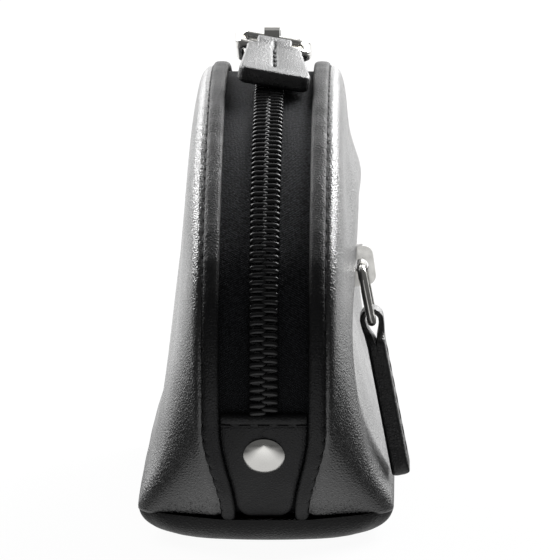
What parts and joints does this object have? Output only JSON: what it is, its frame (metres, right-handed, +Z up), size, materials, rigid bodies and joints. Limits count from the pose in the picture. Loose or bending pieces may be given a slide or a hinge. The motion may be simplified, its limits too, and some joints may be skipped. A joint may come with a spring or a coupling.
{
  "type": "key case",
  "caption": "Small soft leather key case with a zip over the top, zip pocket in the front, leather pulls, riveted end tabs and a hook rail inside.",
  "frame": {"origin": "middle of the base, on the surface the case stands on", "axes": "+X front (pocket side), +Y along the length towards the far end, +Z up"},
  "size_m": [0.0383, 0.1201, 0.0693],
  "materials": {
    "black_leather": "satin, fine grain",
    "lining_cloth": "plain weave",
    "zip_tape": "twill tape",
    "zip_coil": "glossy nylon",
    "nickel": "polished nickel",
    "fibreboard": "pressed fibreboard"
  },
  "bodies": {
    "case_back": {"back_panel": "black_leather", "back_lining": "lining_cloth", "back_edge_binding": "black_leather", "back_zip_tape": "zip_tape", "back_zip_coil": "zip_coil", "base_panel": "black_leather", "base_board": "fibreboard", "base_lining": "lining_cloth", "near_end_tab": "black_leather", "far_end_tab": "black_leather", "near_rivet": "nickel", "far_rivet": "nickel", "key_flap": "black_leather", "key_plate": "nickel", "key_plate_rivets": "nickel", "key_rod": "nickel"},
    "front_shell": {"front_panel": "black_leather", "front_lining": "lining_cloth", "front_edge_binding": "black_leather", "front_zip_tape": "zip_tape", "front_zip_coil": "zip_coil", "pocket_tape_upper": "zip_tape", "pocket_tape_lower": "zip_tape", "pocket_coil_upper": "zip_coil", "pocket_coil_lower": "zip_coil"},
    "near_slider_body": {"near_slider": "nickel"},
    "near_ring_body": {"near_pull_ring": "nickel"},
    "near_strap_body": {"near_pull_strap": "black_leather"},
    "far_slider_body": {"far_slider": "nickel"},
    "far_ring_body": {"far_pull_ring": "nickel"},
    "far_strap_body": {"far_pull_strap": "black_leather"},
    "pocket_slider_body": {"pocket_slider": "nickel"},
    "pocket_ring_body": {"pocket_pull_ring": "nickel"},
    "pocket_strap_body": {"pocket_pull_strap": "black_leather"},
    "key_hook_1_body": {"key_hook_1": "nickel"},
    "key_hook_2_body": {"key_hook_2": "nickel"},
    "key_hook_3_body": {"key_hook_3": "nickel"},
    "key_hook_4_body": {"key_hook_4": "nickel"},
    "key_hook_5_body": {"key_hook_5": "nickel"},
    "key_hook_6_body": {"key_hook_6": "nickel"}
  },
  "joints": [
    {"name": "front_open", "type": "hinge", "parent": "case_back", "child": "front_shell", "pos_m": [0.0171, 0, 0.00615], "axis": [0, 1, 0], "range_deg": [0, 30], "deforming": ["front_zip_tape", "front_zip_coil"]},
    {"name": "near_slider_run", "type": "hinge", "parent": "case_back", "child": "near_slider_body", "pos_m": [0, 0, -0.01657], "axis": [1, 0, 0], "range_deg": [0, 42.1]},
    {"name": "far_slider_run", "type": "hinge", "parent": "case_back", "child": "far_slider_body", "pos_m": [0, 0, -0.01657], "axis": [-1, 0, 0], "range_deg": [0, 23.9]},
    {"name": "near_ring_swing", "type": "hinge", "parent": "near_slider_body", "child": "near_ring_body", "pos_m": [0, 0.00807, 0.06726], "axis": [-0.9848, 0.0166, 0.1728], "range_deg": [0, 85]},
    {"name": "near_strap_swing", "type": "hinge", "parent": "near_ring_body", "child": "near_strap_body", "pos_m": [-0.00025, 0.0001, 0.0666], "axis": [-0.9848, 0.0166, 0.1728], "range_deg": [0, 90]},
    {"name": "far_ring_swing", "type": "hinge", "parent": "far_slider_body", "child": "far_ring_body", "pos_m": [0, 0.01859, 0.06557], "axis": [1, 0, 0], "range_deg": [0, 85]},
    {"name": "far_strap_swing", "type": "hinge", "parent": "far_ring_body", "child": "far_strap_body", "pos_m": [0, 0.02595, 0.06243], "axis": [1, 0, 0], "range_deg": [0, 90]},
    {"name": "pocket_slider_run", "type": "slide", "parent": "front_shell", "child": "pocket_slider_body", "axis": [0, 1, 0], "range_m": [0, 0.058]},
    {"name": "pocket_ring_swing", "type": "hinge", "parent": "pocket_slider_body", "child": "pocket_ring_body", "pos_m": [0.0137, -0.029, 0.03811], "axis": [0, -1, 0], "range_deg": [0, 100]},
    {"name": "pocket_strap_swing", "type": "hinge", "parent": "pocket_ring_body", "child": "pocket_strap_body", "pos_m": [0.01522, -0.029, 0.03026], "axis": [0, -1, 0], "range_deg": [0, 90]},
    {"name": "key_hook_1_swing", "type": "hinge", "parent": "case_back", "child": "key_hook_1_body", "pos_m": [-0.0035, -0.0235, 0.0456], "axis": [0, -1, 0], "range_deg": [-6, 25]},
    {"name": "key_hook_2_swing", "type": "hinge", "parent": "case_back", "child": "key_hook_2_body", "pos_m": [-0.0035, -0.0141, 0.0456], "axis": [0, -1, 0], "range_deg": [-6, 25]},
    {"name": "key_hook_3_swing", "type": "hinge", "parent": "case_back", "child": "key_hook_3_body", "pos_m": [-0.0035, -0.0047, 0.0456], "axis": [0, -1, 0], "range_deg": [-6, 25]},
    {"name": "key_hook_4_swing", "type": "hinge", "parent": "case_back", "child": "key_hook_4_body", "pos_m": [-0.0035, 0.0047, 0.0456], "axis": [0, -1, 0], "range_deg": [-6, 25]},
    {"name": "key_hook_5_swing", "type": "hinge", "parent": "case_back", "child": "key_hook_5_body", "pos_m": [-0.0035, 0.0141, 0.0456], "axis": [0, -1, 0], "range_deg": [-6, 25]},
    {"name": "key_hook_6_swing", "type": "hinge", "parent": "case_back", "child": "key_hook_6_body", "pos_m": [-0.0035, 0.0235, 0.0456], "axis": [0, -1, 0], "range_deg": [-6, 25]}
  ],
  "couplings": [
    {"joint": "near_slider_run", "follows": "front_open", "ratio": 1.4033},
    {"joint": "far_slider_run", "follows": "front_open", "ratio": 0.79667}
  ]
}
